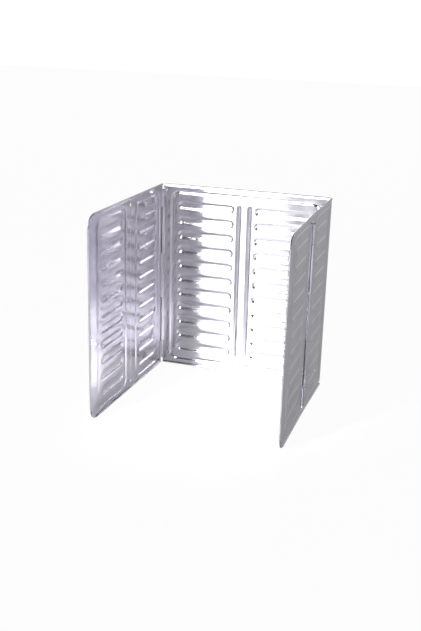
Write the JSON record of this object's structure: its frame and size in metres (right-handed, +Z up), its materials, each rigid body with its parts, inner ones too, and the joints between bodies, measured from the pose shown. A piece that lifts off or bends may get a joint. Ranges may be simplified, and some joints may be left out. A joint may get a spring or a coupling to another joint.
{
  "type": "folding splash guard",
  "caption": "Free-standing folding splash guard of pressed, ribbed aluminium sheet: a wide back wall with hinged side walls that fold again at a second hinge, with rolled wired hems.",
  "frame": {"origin": "middle of the back wall's foot, on the surface that the guard stands on", "axes": "+Z up, +X along the back wall to the cook's right, +Y out through the back wall, away from the cook"},
  "size_m": [0.3076, 0.2797, 0.325],
  "materials": {
    "sheet": "bright rolled sheet",
    "wire": "drawn wire"
  },
  "bodies": {
    "back": {"back_panel": "sheet", "back_top_wire": "wire", "back_bottom_wire": "wire", "left_corner_pin": "wire", "right_corner_pin": "wire"},
    "left_inner": {"left_inner_panel": "sheet", "left_inner_top_wire": "wire", "left_inner_bottom_wire": "wire", "left_mid_pin": "wire"},
    "left_outer": {"left_outer_panel": "sheet", "left_outer_rim_wire": "wire"},
    "right_inner": {"right_inner_panel": "sheet", "right_inner_top_wire": "wire", "right_inner_bottom_wire": "wire", "right_mid_pin": "wire"},
    "right_outer": {"right_outer_panel": "sheet", "right_outer_rim_wire": "wire"}
  },
  "joints": [
    {"name": "left_corner_hinge", "type": "hinge", "parent": "back", "child": "left_inner", "pos_m": [-0.143, -0.00205, 0.1625], "axis": [0, 0, 1], "range_deg": [-87, 93]},
    {"name": "left_mid_hinge", "type": "hinge", "parent": "left_inner", "child": "left_outer", "pos_m": [-0.15385, -0.13066, 0.1625], "axis": [0, 0, 1], "range_deg": [-180, 0]},
    {"name": "right_corner_hinge", "type": "hinge", "parent": "back", "child": "right_inner", "pos_m": [0.143, -0.00205, 0.1625], "axis": [0, 0, 1], "range_deg": [-77.2, 91.8]},
    {"name": "right_mid_hinge", "type": "hinge", "parent": "right_inner", "child": "right_outer", "pos_m": [0.14305, -0.13112, 0.1625], "axis": [0, 0, 1], "range_deg": [-1.2, 178.8]}
  ]
}
